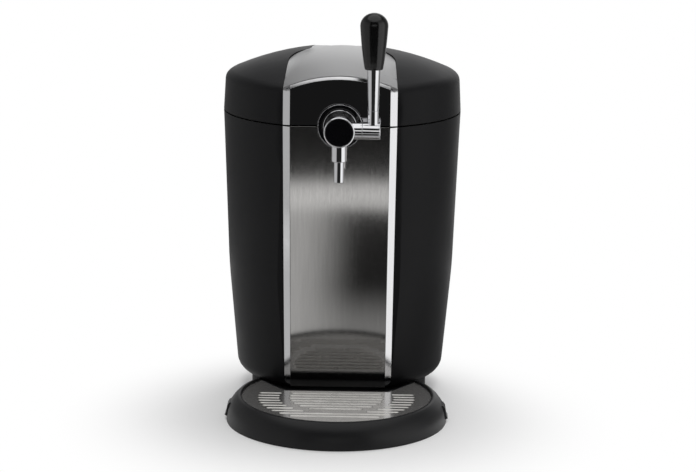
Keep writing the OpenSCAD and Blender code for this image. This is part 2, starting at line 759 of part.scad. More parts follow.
crease_r = shoulder_r - 0.4;
dome_edge_r = crease_r - 8;
dome_r = (dome_edge_r * dome_edge_r + dome_drop * dome_drop) / (2 * dome_drop);
dome_c = dome_z - dome_r;
function dome_at(r, w) = dome_c + sqrt((dome_r - w) * (dome_r - w) - r * r);
function bezier(a, b, c, t) = (1 - t) * (1 - t) * a + 2 * t * (1 - t) * b + t * t * c;

// Outline of the lid's half section, drawn in by w
function lid_outline(w) = let (low = w > 0 ? lid_low - 5 : lid_low) concat(
    [[0, low], [seam_r - w, low], [seam_r - w, lid_low]],
    [for (i = [0:5]) bezier([shoulder_r - w, shoulder_z - w / 2],
                            [crease_r - w, dome_at(crease_r - w, w)],
                            [dome_edge_r - w, dome_at(dome_edge_r - w, w)], i / 5)],
    [for (i = [1:10]) let (r = (dome_edge_r - w) * (1 - i / 10)) [r, dome_at(r, w)]]
);

module lid_solid(w) rotate_extrude($fn = 180) polygon(lid_outline(w));

// What lies under the silver panel's surface, off below it
module under_sheet(off, depth) translate([0, path_y, path_z]) rotate([0, 90, 0]) rotate([0, 0, 90])
    rotate_extrude($fn = 360) intersection() {
        translate([path_r - cross_r, 0]) circle(r = cross_r - off, $fn = 360);
        translate([path_r - depth, -80]) square([depth + 20, 160]);
    }

// What lies above that surface
module over_sheet(off) translate([0, path_y, path_z]) rotate([0, 90, 0]) rotate([0, 0, 90])
    rotate_extrude($fn = 360) difference() {
        translate([path_r - 40, -80]) square([70, 160]);
        translate([path_r - cross_r, 0]) circle(r = cross_r - off, $fn = 360);
    }

// Plan of the silver panel, grown by w: broad in front, drawn in to a tail
waist_y = -50;
waist_x = trim_x - 2.6;
tail_end_y = 46;
module top_plan(w) {
    polygon(concat(
        [[-trim_x - w, -face_y - 8], [trim_x + w, -face_y - 8]],
        [for (i = [0:8]) let (a = i * 10)
            [tail_x - 2 + (waist_x - tail_x + 2 + w) * cos(a), waist_y + (44 + w) * sin(a)]],
        [[tail_x + w, waist_y + 50 + w], [tail_x - 3 + w, tail_end_y]],
        [[-tail_x + 3 - w, tail_end_y], [-tail_x - w, waist_y + 50 + w]],
        [for (i = [8:-1:0]) let (a = i * 10)
            [-tail_x + 2 - (waist_x - tail_x + 2 + w) * cos(a), waist_y + (44 + w) * sin(a)]]
    ));
    translate([0, tail_end_y]) circle(tail_x - 3 + w);
}

module top_prism(w) translate([0, 0, seam_z]) linear_extrude(100) top_plan(w);

module lid_shell() color([0.10, 0.10, 0.11]) on_keg_axis() difference() {
    lid_solid(0);
    on_lid_face() ahead(face_t);
    intersection() {
        top_prism(gap);
        over_sheet(top_t);
    }
    difference() {
        lid_solid(wall);
        on_lid_face() ahead(face_t + wall);
        intersection() {
            top_prism(gap + wall);
            over_sheet(top_t + wall);
        }
    }
    on_tap_axis(face_y - 20) cylinder(r = shank_r + gap, h = 30);
}

module lid_top_panel() color([0.68, 0.68, 0.69]) on_keg_axis() difference() {
    intersection() {
        top_prism(0);
        under_sheet(0, 40);
    }
    under_sheet(top_t, 60);
    on_lid_face() ahead(-arch_out - 0.6);
}

module lid_front_panel() color([0.03, 0.03, 0.035]) on_keg_axis() difference() {
    intersection() {
        on_lid_face() upright(face_t, 0)
            translate([-trim_x + trim_w, seam_gap / 2]) square([2 * (trim_x - trim_w), 80]);
        under_sheet(top_t + arch_h, 100);
    }
    on_tap_axis(face_y - 20) cylinder(r = rosette_r + gap, h = 30);
}

module lid_trims() color([0.85, 0.85, 0.86]) on_keg_axis() intersection() {
    lid_solid(-trim_proud);
    on_lid_face() upright(face_t + strip_reach, -strip_reach)
        for (s = [-1, 1]) translate([s * (trim_x - trim_w / 2), 40 + seam_gap / 2])
            square([trim_w, 80], center = true);
    under_sheet(top_t, 100);
}

module lid_arch_trim() color([0.85, 0.85, 0.86]) on_keg_axis() difference() {
    intersection() {
        on_lid_face() upright(face_t + arch_out, -arch_out)
            translate([-trim_x + trim_w, 0]) square([2 * (trim_x - trim_w), 80]);
        under_sheet(top_t, 40);
    }
    under_sheet(top_t + arch_h, 60);
}

module rosette_upper() color([0.2, 0.2, 0.21]) on_keg_axis() intersection() {
    rosette_ring();
    on_lid_face() ahead(face_t);
    translate([-50, -200, seam_z + seam_gap / 4]) cube([100, 200, 60]);
}

module lid_liner() color([0.82, 0.82, 0.80]) on_keg_axis() difference() {
    rotate_extrude() polygon([
        [pocket_r, lid_plate_z], [lid_plate_r, lid_plate_z],
        [lid_plate_r, lid_plate_z + lid_plate_t],
        [pocket_r + lid_plate_t, lid_plate_z + lid_plate_t],
        [pocket_top_r + lid_plate_t, pocket_z - 8], [pocket_top_r - 6, pocket_z],
        [0, pocket_z], [0, pocket_z - lid_plate_t], [pocket_top_r - 7, pocket_z - lid_plate_t],
        [pocket_top_r, pocket_z - 9]
    ]);
    on_lid_face() ahead(face_t + wall);
    shank_room();
}

module lid_foam() color([0.9, 0.9, 0.88]) on_keg_axis() difference() {
    rotate_extrude() polygon([
        [pocket_r + lid_plate_t, lid_plate_z + lid_plate_t],
        [seam_r - wall - 2, lid_plate_z + lid_plate_t], [shoulder_r - wall - 2, shoulder_z - 10],
        [pocket_r + 16, pocket_z - 6], [pocket_top_r + lid_plate_t, pocket_z - 8]
    ]);
    on_lid_face() ahead(face_t + wall + gap);
    shank_room();
}

seal_r = liner_ro + 4.5;
module lid_seal() color([0.05, 0.05, 0.05]) on_keg_axis() difference() {
    rotate_extrude() polygon([
        [seal_r - 3, lid_plate_z], [seal_r - 1.5, deck_top + gap], [seal_r + 1.5, deck_top + gap],
        [seal_r + 3, lid_plate_z]
    ]);
    on_tap_axis(60) cylinder(r = shank_r + 1, h = 80);
}

// ---------- tap ----------

module tap_shank() color([0.8, 0.8, 0.82]) on_keg_axis() difference() {
    on_tap_axis(20) cylinder(r = shank_r, h = neck_y - 20);
    on_tap_axis(10) cylinder(r = 3.5, h = neck_y);
}

module shank_gasket() color([0.05, 0.05, 0.05]) on_keg_axis() difference() {
    on_tap_axis(collar_y - gasket_t) cylinder(r = collar_flange_r - 1, h = gasket_t);
    on_tap_axis(face_y - 20) cylinder(r = shank_r, h = 30);
}
gasket_t = 0.85;

module shank_nut() color([0.75, 0.72, 0.6]) on_keg_axis() difference() {
    on_tap_axis(nut_y - nut_h) cylinder(r = nut_r, h = nut_h, $fn = 6);
    on_tap_axis(nut_y - nut_h - 1) cylinder(r = shank_r, h = nut_h + 2);
}

module tap_collar() color([0.25, 0.25, 0.26]) on_keg_axis() difference() {
    on_tap_axis(collar_y) rotate_extrude() polygon([
        [0, 0], [collar_flange_r, 0], [collar_flange_r, flange_y - collar_y - 0.5],
        [collar_flange_r - 0.5, flange_y - collar_y], [neck_r + 0.8, flange_y - collar_y],
        [neck_r, flange_y - collar_y + 0.8], [neck_r, neck_y - collar_y - 0.5],
        [neck_r - 0.5, neck_y - collar_y], [0, neck_y - collar_y]
    ]);
    on_tap_axis(face_y - 20) cylinder(r = shank_r, h = 60);
}

arm_start_x = 9.2;
axle_r = 5;
module tap_barrel() color([0.80, 0.80, 0.82]) on_keg_axis() difference() {
    union() {
        on_tap_axis(neck_y) rotate_extrude() polygon([
            [0, 0], [barrel_r - 0.6, 0], [barrel_r, 0.6], [barrel_r, bezel_y - neck_y],
            [0, bezel_y - neck_y]
        ]);
        translate([0, -lever_y, seam_z]) rod_x(arm_r, arm_start_x, arm_joint_x - gap);
    }
    on_tap_axis(neck_y + 2) cylinder(r = bore_r, h = far);
    on_tap_axis(neck_y - 1) cylinder(r = 3.5, h = 10);
    translate([0, -lever_y, seam_z - barrel_r - 1]) cylinder(r = 3.6, h = barrel_r);
    translate([0, -lever_y, seam_z]) rod_x(axle_r + run, bore_r + 1, 40);
    // flat that the front cap's ring lies on
    on_tap_axis(bezel_y) cylinder(r = bezel_r + gap, h = 10);
}

module cap_bezel() color([0.85, 0.85, 0.86]) on_keg_axis() on_tap_axis(bezel_y) rotate_extrude()
    polygon([
        [bore_r + 1, 0], [bezel_r - 0.6, 0], [bezel_r, 0.6], [bezel_r, 3.4], [bezel_r - 0.9, 4.2],
        [bezel_r - 1.4, 4.2], [bezel_r - 1.4, 2], [bore_r + 1, 2]
    ]);

module tap_cap() color([0.02, 0.02, 0.02]) on_keg_axis() on_tap_axis(bezel_y) rotate_extrude()
    polygon([
        [0, 0.2], [bore_r + 1, 0.2], [bore_r + 1, 2], [bezel_r - 1.4, 2], [bezel_r - 1.4, 3.7],
        [bezel_r - 2, 4.1], [0, 4.1]
    ]);

plunger_y = neck_y + 2 + gap;
plunger_h = 10;
module valve_plunger() color([0.8, 0.65, 0.35]) on_keg_axis() on_tap_axis(plunger_y) difference() {
    rotate_extrude() polygon([
        [0, 0], [bore_r - 1.5, 0], [bore_r - 1.5, 1.5], [bore_r - run, 1.5],
        [bore_r - run, plunger_h - 3], [bore_r - 2, plunger_h - 1], [4, plunger_h], [0, plunger_h]
    ]);
    // flutes that the beer runs along
    for (a = [45:90:315]) rotate([0, 0, a]) translate([bore_r, 0, -1]) cylinder(r = 2.4, h = 20);
}

sleeve_z = seam_z - 33.7;
module on_spout(z) translate([0, -lever_y, z]) children();

module spout_sleeve() color([0.80, 0.80, 0.82]) on_keg_axis() difference() {
    on_spout(0) rotate_extrude() polygon([
        [3.6, sleeve_z], [sleeve_r - 0.6, sleeve_z], [sleeve_r, sleeve_z + 0.6],
        [sleeve_r, seam_z], [3.6, seam_z]
    ]);
    on_tap_axis(100) cylinder(r = barrel_r, h = 80);
    on_spout(0) cylinder(r = tenon_r, h = tenon_z);
}

module spout_nozzle() color([0.80, 0.80, 0.82]) on_keg_axis() on_spout(0) rotate_extrude()
    polygon([
        [3.6, spout_z + 1], [4.1, spout_z], [nozzle_r - 0.5, spout_z],
        [nozzle_r, spout_z + 0.5], [nozzle_r, sleeve_z], [tenon_r, sleeve_z],
        [tenon_r, tenon_z], [3.6, tenon_z]
    ]);
tenon_r = nozzle_r - 0.8;
tenon_z = sleeve_z + 8;

module lever_axis() translate([0, -lever_y, seam_z]) children();

module lever_hub() color([0.80, 0.80, 0.82]) on_keg_axis() lever_axis() {
    translate([arm_joint_x, 0, 0]) rotate([0, 90, 0]) rotate_extrude() polygon([
        [0, 0], [arm_r - 0.3, 0], [arm_r, 0.3], [arm_r, hub_w - 2.2], [arm_r - 0.3, hub_w - 2],
        [arm_r, hub_w - 1.8], [arm_r, hub_w - 0.8], [arm_r - 0.8, hub_w], [0, hub_w]
    ]);
    rod_x(axle_r, bore_r + 2, arm_joint_x + eps);
}

ferrule_r = 6.1;
module lever_ferrule() color([0.80, 0.80, 0.82]) on_keg_axis() difference() {
    translate([lever_x, -lever_y, seam_z + 4]) cylinder(r = ferrule_r, h = ferrule_z - seam_z - 4);
    lever_axis() rod_x(arm_r, arm_joint_x, arm_joint_x + hub_w);
}

shaft_low_r = 5.8;
shaft_top_r = 7.15;
module lever_shaft() color([0.80, 0.80, 0.82]) on_keg_axis() translate([lever_x, -lever_y, 0])
    rotate_extrude() polygon([
        [0, ferrule_z], [shaft_low_r - 0.3, ferrule_z], [shaft_low_r, ferrule_z + 0.3],
        [shaft_top_r, handle_z], [4, handle_z], [4, handle_z + 12], [0, handle_z + 12]
    ]);

// The handle swells towards its domed top
handle_low_r = 10;
function handle_outline() = let (h = handle_top_z - handle_z, wide_z = handle_z + h * 0.77) concat(
    [[4, handle_z], [handle_low_r - 0.6, handle_z], [handle_low_r, handle_z + 0.8]],
    [for (i = [1:5]) let (t = i / 6)
        [handle_low_r + (handle_r - handle_low_r) * (t + 0.12 * sin(180 * t)), handle_z + h * 0.77 * t]],
    [for (i = [0:8]) let (a = i * 90 / 8)
        [handle_r * cos(a), wide_z + (handle_top_z - wide_z) * sin(a)]],
    [[0, handle_z + 12], [4, handle_z + 12]]
);
module lever_handle() color([0.04, 0.04, 0.04]) on_keg_axis() translate([lever_x, -lever_y, 0])
    rotate_extrude() polygon(handle_outline());

// ---------- tapping head ----------

head_r = 22;
head_z = seam_z - 8.5;
head_top = seam_z + 20;
gas_z = seam_z + 9;
gas_r = 12.5;
module coupler_head() color([0.15, 0.15, 0.16]) on_keg_axis() difference() {
    union() {
        rotate_extrude() polygon([
            [0, head_z], [head_r - 2, head_z], [head_r, head_z + 2], [head_r, head_top - 5],
            [head_r - 6, head_top], [0, head_top]
        ]);
        on_tap_axis(12) cylinder(r = shank_r + 3.5, h = 24);
        translate([0, 0, gas_z]) rod_y(gas_r + 2, 12, 30);
    }
    // the keg's top lies just below
    translate([0, 0, head_z - far]) cylinder(r = far, h = far);
    on_tap_axis(20) cylinder(r = shank_r, h = 30);
    cylinder(r = 2.5, h = seam_z + 2);
    translate([0, 0, gas_z]) rod_y(gas_r, 24, 40);
    translate([0, 0, head_top - 8]) cylinder(r = 3 + run, h = 20);
}

module coupler_nozzle() color([0.8, 0.8, 0.82]) on_keg_axis() rotate_extrude() polygon([
    [2.5, keg_top], [3.5, keg_top], [4, keg_top + 0.6], [4, head_z], [2.5, head_z]
]);
keg_top = keg_z + keg_h;

gas_end_y = liner_r - 22;
module gas_sleeve() color([0.15, 0.15, 0.16]) on_keg_axis() translate([0, 0, gas_z]) difference() {
    rod_y(gas_r, 24, gas_end_y);
    rod_y(gas_r - 1.4, 26, far);
}

module gas_cap() color([0.10, 0.10, 0.10]) on_keg_axis() translate([0, 0, gas_z]) difference() {
    rod_y(gas_r + 1.6, gas_end_y - 8, gas_end_y + 5);
    rod_y(gas_r, gas_end_y - 20, gas_end_y);
    for (a = [0:30:330]) rotate([0, a, 0]) translate([gas_r + 2.2, 0, 0])
        rod_y(1.1, gas_end_y - 20, far);
}

knob_r = 11.4;
module pressure_knob() color([0.15, 0.15, 0.15]) on_keg_axis() difference() {
    union() {
        translate([0, 0, head_top + gap]) cylinder(r = knob_r, h = 10);
        translate([0, 0, head_top - 7]) cylinder(r = 3, h = 10);
    }
    for (a = [0:24:336]) rotate([0, 0, a]) translate([knob_r + 0.8, 0, head_top])
        cylinder(r = 1.6, h = 20);
}

// ---------- tray ----------

// Contour of the tray's back, moved back by d; the tray lies ahead of it
function back_corner(d) = [back_x - d * tan(back_a / 2), -back_y + d];
function back_far(d) = [tip_x + 40 * cos(back_a) - d * sin(back_a),
                        -tip_y + 40 * sin(back_a) + d * cos(back_a)];
module ahead_of_back(d) {
    c = back_corner(d);
    f = back_far(d);
    polygon([[-160, -320], [160, -320], [160, f[1]], f, c, [-c[0], c[1]], [-f[0], f[1]],
             [-160, f[1]]]);
}

module on_tray() translate([0, -tray_y, 0]) children();
basin_r = plate_r - 4.5;
module tray_section() rotate_extrude() polygon([
    [0, 0], [tray_r, 0], [tray_r - 0.2, 3], [tray_r - 1.7, 12], [tray_r - 3.8, 18],
    [tray_r - 7.2, 23], [tray_r - 11, rim_z - 1.3], [tray_r - 13.4, rim_z - 0.2],
    [tray_r - 15, rim_z], [plate_r + gap, rim_z], [0, rim_z]
]);
module tray_under() rotate_extrude() polygon([
    [0, -1], [tray_r - tray_wall, -1], [tray_r - tray_wall - 0.8, 8],
    [tray_r - tray_wall - 4, 16], [tray_r - tray_wall - 9, 20], [basin_r + 2.8, 20],
    [basin_r + 2.8, under_z], [0, under_z]
]);

grip_y = tray_y + 1;
module drip_tray() color([0.09, 0.09, 0.10]) on_keg_axis() {
    difference() {
        on_tray() tray_section();
        // what lies behind the back wall
        translate([0, 0, -1]) linear_extrude(60) difference() {
            translate([-160, -200]) square([320, 200]);
            ahead_of_back(tray_wall + gap);
        }
        translate([-far / 2, -plinth_front_y - gap, -1]) cube([far, far, 60]);
        intersection() {
            on_tray() tray_under();
            translate([0, 0, -2]) linear_extrude(40) ahead_of_back(gap);
            translate([-far / 2, -far, -1]) cube([far, far - plinth_front_y - gap - tray_wall, 40]);
        }
        // basin, then the ledge for the plate
        translate([0, 0, floor_z]) linear_extrude(40) intersection() {
            translate([0, -tray_y]) circle(basin_r);
            ahead_of_back(-3.5);
        }
        translate([0, 0, plate_z - plate_t]) linear_extrude(40) intersection() {
            translate([0, -tray_y]) circle(plate_r + gap);
            ahead_of_back(gap);
        }
        // the back wall ends level with the plate
        translate([0, 0, plate_z - 0.4]) linear_extrude(40) intersection() {
            ahead_of_back(tray_wall + 1);
            difference() {
                translate([-tip_x - 2, -160]) square([2 * tip_x + 4, 160]);
                ahead_of_back(-1);
            }
        }
        // opening for the stand's tongue
        translate([0, -back_y - 3, -1]) block(2 * (dock_x + gap), 30, under_z + 1);
        // finger slots in both sides
        for (s = [-1, 1]) translate([s * (tray_r - 1), -grip_y - 13, 7]) block(9, 26, 13);
    }
    // guide rails under the floor
    for (s = [-1, 1]) translate([s * (dock_x + gap + 1.5), -dock_y - 4, 1])
        block(3, dock_y + 4 - back_y - 1, under_z - 1 + eps);
    // lips that the fingers pull
    for (s = [-1, 1]) translate([s * (tray_r - 3.4), -grip_y + 9, 3.5]) rotate([90, 0, 0])
        linear_extrude(18) polygon([[-s * 2.4, 0], [s * 2.2, 0], [s * 5.2, 1.2], [s * 3.6, 4],
                                    [s * 2.4, 12], [s * 0.2, 15.4], [-s * 2.4, 15.4]]);
}

// Slots of one row, broken by the plain ring
function half_chord(r, d) = abs(d) < r ? sqrt(r * r - d * d) : 0;
module row_slots(d) {
    outer = half_chord(slots_r, d);
    ring_out = half_chord(ring_r + ring_w / 2, d);
    ring_in = half_chord(ring_r - ring_w / 2, d);
    if (ring_out > slot_w)
        for (s = [0, 1]) mirror([s, 0]) round_bar(ring_out, outer, slot_w);
    else
        round_bar(-outer, outer, slot_w);
    if (ring_in > 2 * slot_w) round_bar(-ring_in, ring_in, slot_w);
}

module drip_grille() color([0.45, 0.45, 0.46]) on_keg_axis()
    translate([0, 0, plate_z - plate_t]) linear_extrude(plate_t) difference() {
        intersection() {
            translate([0, -tray_y]) circle(plate_r);
            ahead_of_back(0);
        }
        for (i = [0:row_count - 1]) translate([0, -first_row_y - i * row_pitch])
            row_slots(glass_y - first_row_y - i * row_pitch);
    }

base_plinth();
base_feet();
base_screws();
body_shell();
front_panel();
body_trims();
rosette_lower();
body_deck();
chamber_liner();
keg_pad();
chamber_foam();
cold_block();
cooling_module();
temperature_sensor();
heat_sink();
fan_frame();
fan_rotor();
fan_screws();
power_board();
transformer();
rear_cover();
cover_screws();
power_inlet();
inlet_pins();
switch_housing();
switch_rocker();
hinge_bracket();
hinge_screws();
hinge_pin();
tap_shank();
shank_gasket();
shank_nut();
tap_collar();
tap_barrel();
cap_bezel();
tap_cap();
valve_plunger();
spout_sleeve();
spout_nozzle();
coupler_head();
coupler_nozzle();
gas_sleeve();
gas_cap();
pressure_knob();
lever_hub();
lever_ferrule();
lever_shaft();
lever_handle();
lid_shell();
lid_top_panel();
lid_front_panel();
lid_trims();
lid_arch_trim();
rosette_upper();
lid_liner();
lid_foam();
lid_seal();
lid_hinge_arm();
drip_tray();
drip_grille();
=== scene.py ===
import json
import math
import bmesh
import bpy
from mathutils import Matrix, Vector


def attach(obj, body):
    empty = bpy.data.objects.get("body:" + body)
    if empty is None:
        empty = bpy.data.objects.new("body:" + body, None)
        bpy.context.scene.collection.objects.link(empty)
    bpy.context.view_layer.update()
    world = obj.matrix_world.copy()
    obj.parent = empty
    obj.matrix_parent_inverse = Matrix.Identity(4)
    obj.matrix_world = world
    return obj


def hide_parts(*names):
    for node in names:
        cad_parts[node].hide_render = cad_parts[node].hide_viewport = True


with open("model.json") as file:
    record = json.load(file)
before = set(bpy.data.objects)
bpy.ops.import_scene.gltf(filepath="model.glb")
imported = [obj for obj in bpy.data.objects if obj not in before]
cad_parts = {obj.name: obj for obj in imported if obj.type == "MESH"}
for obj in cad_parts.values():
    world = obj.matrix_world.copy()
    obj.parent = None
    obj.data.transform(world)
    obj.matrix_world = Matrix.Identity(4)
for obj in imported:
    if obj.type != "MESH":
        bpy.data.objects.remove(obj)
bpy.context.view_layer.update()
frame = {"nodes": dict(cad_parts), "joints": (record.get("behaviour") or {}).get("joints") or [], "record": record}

# ---------- places taken from the frame ----------

NODES = frame["nodes"]
MOUNTS = {m["name"]: Vector(m["pos_m"]) for m in frame["record"]["mounts"]}
JOINTS = {j["name"]: j for j in frame["joints"]}
KEG_AXIS_Y = MOUNTS["keg_seat"].y
MM = 0.001
TAP_Z = Vector(JOINTS["lever_turn"]["pos_m"]).z / MM


# ---------- node trees ----------

class Nodes:
    """Short ways to build a node tree."""

    def __init__(self, tree):
        self.tree = tree

    def add(self, kind):
        return self.tree.nodes.new(kind)

    def link(self, output, socket):
        self.tree.links.new(output, socket)

    def calc(self, operation, first, second=None):
        node = self.add("ShaderNodeMath")
        node.operation = operation
        for socket, value in zip(node.inputs, (first, second)):
            if isinstance(value, (int, float)):
                socket.default_value = value
            elif value is not None:
                self.link(value, socket)
        return node.outputs[0]

    def spread(self, value, low, high, start=0.3, end=0.7):
        """Maps a value from start..end to low..high."""
        node = self.add("ShaderNodeMapRange")
        for name, number in zip(("From Min", "From Max", "To Min", "To Max"), (start, end, low, high)):
            node.inputs[name].default_value = number
        self.link(value, node.inputs["Value"])
        return node.outputs["Result"]

    def smooth(self, value, start, end, low, high):
        """The same with an eased start and end."""
        output = self.spread(value, low, high, start, end)
        output.node.interpolation_type = "SMOOTHSTEP"
        return output

    def split(self, vector):
        node = self.add("ShaderNodeSeparateXYZ")
        self.link(vector, node.inputs[0])
        return node.outputs


# Sockets of a colour Mix node
MIX_FACTOR, MIX_FIRST, MIX_SECOND, MIX_RESULT = 0, 6, 7, 2


class Look(Nodes):
    """One procedural material, built round a Principled shader in the object's own coordinates."""

    def __init__(self, name, colour, roughness, metallic=0.0, **sockets):
        self.material = bpy.data.materials.new(name)
        self.material.use_nodes = True
        super().__init__(self.material.node_tree)
        self.shader = self.tree.nodes["Principled BSDF"]
        self.where = self.add("ShaderNodeTexCoord").outputs["Object"]
        self.colour = colour
        self.set("Base Color", (*colour, 1.0))
        self.set("Roughness", roughness)
        self.set("Metallic", metallic)
        for socket, value in sockets.items():
            self.set(socket.replace("_", " "), value)

    def set(self, socket, value):
        self.shader.inputs[socket].default_value = value

    def noise(self, scale, detail=2.0, rough=0.5, stretch=(1, 1, 1)):
        """Noise with about `scale` cells to the metre, drawn out along the axes whose stretch is small."""
        mapping = self.add("ShaderNodeMapping")
        mapping.inputs["Scale"].default_value = stretch
        noise = self.add("ShaderNodeTexNoise")
        noise.inputs["Scale"].default_value = scale
        noise.inputs["Detail"].default_value = detail
        noise.inputs["Roughness"].default_value = rough
        self.link(self.where, mapping.inputs["Vector"])
        self.link(mapping.outputs["Vector"], noise.inputs["Vector"])
        return noise.outputs["Fac"]

    def tint(self, value, dark, light):
        """Base colour between two shares of the written colour."""
        mix = self.add("ShaderNodeMix")
        mix.data_type = "RGBA"
        self.link(value, mix.inputs[MIX_FACTOR])
        mix.inputs[MIX_FIRST].default_value = (*[c * dark for c in self.colour], 1.0)
        mix.inputs[MIX_SECOND].default_value = (*[c * light for c in self.colour], 1.0)
        self.link(mix.outputs[MIX_RESULT], self.shader.inputs["Base Color"])
        return self

    def vary(self, socket, value, low, high):
        self.link(self.spread(value, low, high), self.shader.inputs[socket])
        return self

    def bump(self, value, distance, strength=1.0):
        node = self.add("ShaderNodeBump")
        node.inputs["Distance"].default_value = distance
        node.inputs["Strength"].default_value = strength
        self.link(value, node.inputs["Height"])
        self.link(node.outputs["Normal"], self.shader.inputs["Normal"])
        return self


def moulded(name, colour, roughness, grain_mm=0.5, depth_mm=0.012, **sockets):
    """Plastic with a fine spark-eroded skin and faint handling marks."""
    look = Look(name, colour, roughness, **sockets)
    cloud = look.noise(14, 5, 0.6)
    grain = look.noise(1 / (grain_mm * MM), 3, 0.6)
    look.tint(cloud, 0.9, 1.1)
    look.vary("Roughness", cloud, roughness - 0.04, roughness + 0.05)
    look.bump(grain, depth_mm * MM)
    return look.material


def glossy(name, colour, roughness, **sockets):
    """Polished lacquer or plastic with a slight orange peel and faint smears."""
    look = Look(name, colour, roughness, **sockets)
    smear = look.noise(30, 4, 0.65, (1, 1, 0.25))
    peel = look.noise(260, 1)
    look.tint(smear, 0.85, 1.2)
    look.vary("Roughness", smear, roughness * 0.7, roughness * 1.6)
    look.bump(peel, 0.002 * MM)
    return look.material


def plated(name, colour, roughness, **sockets):
    """Bright plating over a polished casting."""
    look = Look(name, colour, roughness, metallic=1.0, **sockets)
    smear = look.noise(55, 4, 0.6)
    ripple = look.noise(170, 1)
    look.tint(smear, 0.95, 1.03)
    look.vary("Roughness", smear, roughness * 0.6, roughness * 1.7)
    look.bump(ripple, 0.003 * MM)
    return look.material


def brushed(name, colour, roughness, stretch, depth_mm=0.004, **sockets):
    """Metal with fine parallel scratches; stretch is small along them."""
    look = Look(name, colour, roughness, **{"metallic": 1.0, **sockets})
    scratches = look.noise(2600, 3, 0.7, stretch)
    bands = look.noise(380, 2, 0.5, stretch)
    look.tint(bands, 0.9, 1.06)
    look.vary("Roughness", scratches, roughness * 0.7, roughness * 1.4)
    look.bump(scratches, depth_mm * MM)
    return look.material


def foamed(name, colour):
    """Rigid foam with closed cells."""
    look = Look(name, colour, 0.9)
    cells = look.add("ShaderNodeTexVoronoi")
    cells.inputs["Scale"].default_value = 420
    look.link(look.where, cells.inputs["Vector"])
    look.tint(look.noise(20, 3), 0.9, 1.02)
    look.bump(cells.outputs["Distance"], 0.4 * MM)
    return look.material


def board_green(name):
    """Solder mask with tracks running across it."""
    look = Look(name, (0.02, 0.12, 0.05), 0.35)
    tracks = look.noise(300, 1, 0.5, (1, 0.12, 1))
    edge = look.spread(tracks, 0, 1, 0.52, 0.55)
    look.tint(edge, 0.8, 1.9)
    look.bump(edge, 0.03 * MM)
    return look.material


def wound_with_painted_shade(name, colour):
    """Lacquered wire laid in turns, with painted shade darkening the grooves between turns and a painted sheen
    lightening their crests.
    """
    look = Look(name, colour, 0.3, metallic=0.8)
    wave = look.add("ShaderNodeTexWave")
    wave.bands_direction = "Z"
    wave.inputs["Scale"].default_value = 600
    look.link(look.where, wave.inputs["Vector"])
    # Painted shade and sheen: the colour follows the wave that makes the bump, darker in the grooves and lighter on
    # the crests
    look.tint(wave.outputs["Fac"], 0.6, 1.1)
    look.bump(wave.outputs["Fac"], 0.15 * MM)
    return look.material


MATERIALS = {
    "housing": moulded("satin_black", (0.0125, 0.0125, 0.0135), 0.40, Specular_IOR_Level=0.12),
    "tray": moulded("tray_black", (0.012, 0.012, 0.013), 0.36, grain_mm=0.7, depth_mm=0.008,
                    Specular_IOR_Level=0.3),
    "plinth": moulded("stand_black", (0.010, 0.010, 0.011), 0.50),
    "silver": moulded("silver_satin", (0.50, 0.50, 0.505), 0.30, grain_mm=0.25, depth_mm=0.005,
                      metallic=0.8),
    "front": brushed("brushed_front", (0.60, 0.59, 0.575), 0.085, (1, 1, 0.012)),
    "gloss": plated("mirror_panel", (0.42, 0.42, 0.43), 0.03),
    "cap": glossy("gloss_black", (0.003, 0.003, 0.004), 0.05),
    "trim": plated("bright_trim", (0.80, 0.80, 0.81), 0.12),
    "rosette": glossy("rosette_black", (0.004, 0.004, 0.005), 0.07),
    "collar": glossy("collar_black", (0.004, 0.004, 0.005), 0.08),
    "chrome": plated("polished_chrome", (0.82, 0.82, 0.84), 0.05),
    "handle": glossy("handle_black", (0.005, 0.005, 0.005), 0.12),
    "grille": brushed("grille_plate", (0.52, 0.51, 0.50), 0.18, (1, 0.012, 1), depth_mm=0.0006,
                      metallic=0.75),
    "lips": plated("grille_lips", (0.60, 0.59, 0.565), 0.34),
    "chamber": brushed("chamber_wall", (0.70, 0.71, 0.72), 0.38, (0.02, 0.02, 1)),
    "grey": moulded("inner_grey", (0.055, 0.055, 0.058), 0.48),
    "dark": moulded("inner_dark", (0.022, 0.022, 0.024), 0.45),
    "pale": moulded("lid_lining", (0.62, 0.62, 0.60), 0.42, grain_mm=0.8),
    "foam": foamed("insulation", (0.78, 0.76, 0.70)),
    "rubber": moulded("black_rubber", (0.012, 0.012, 0.012), 0.75, grain_mm=0.9, depth_mm=0.03),
    "aluminium": brushed("extruded_aluminium", (0.72, 0.73, 0.75), 0.34, (1, 1, 0.03)),
    "ceramic": moulded("white_ceramic", (0.80, 0.80, 0.77), 0.30),
    "steel": brushed("zinc_steel", (0.62, 0.62, 0.65), 0.32, (1, 1, 0.4)),
    "blackened": brushed("blackened_steel", (0.05, 0.05, 0.05), 0.40, (1, 1, 0.4)),
    "board": board_green("circuit_board"),
    "winding": wound_with_painted_shade("winding", (0.55, 0.28, 0.08)),
    "brass": plated("plain_brass", (0.72, 0.52, 0.24), 0.18),
}

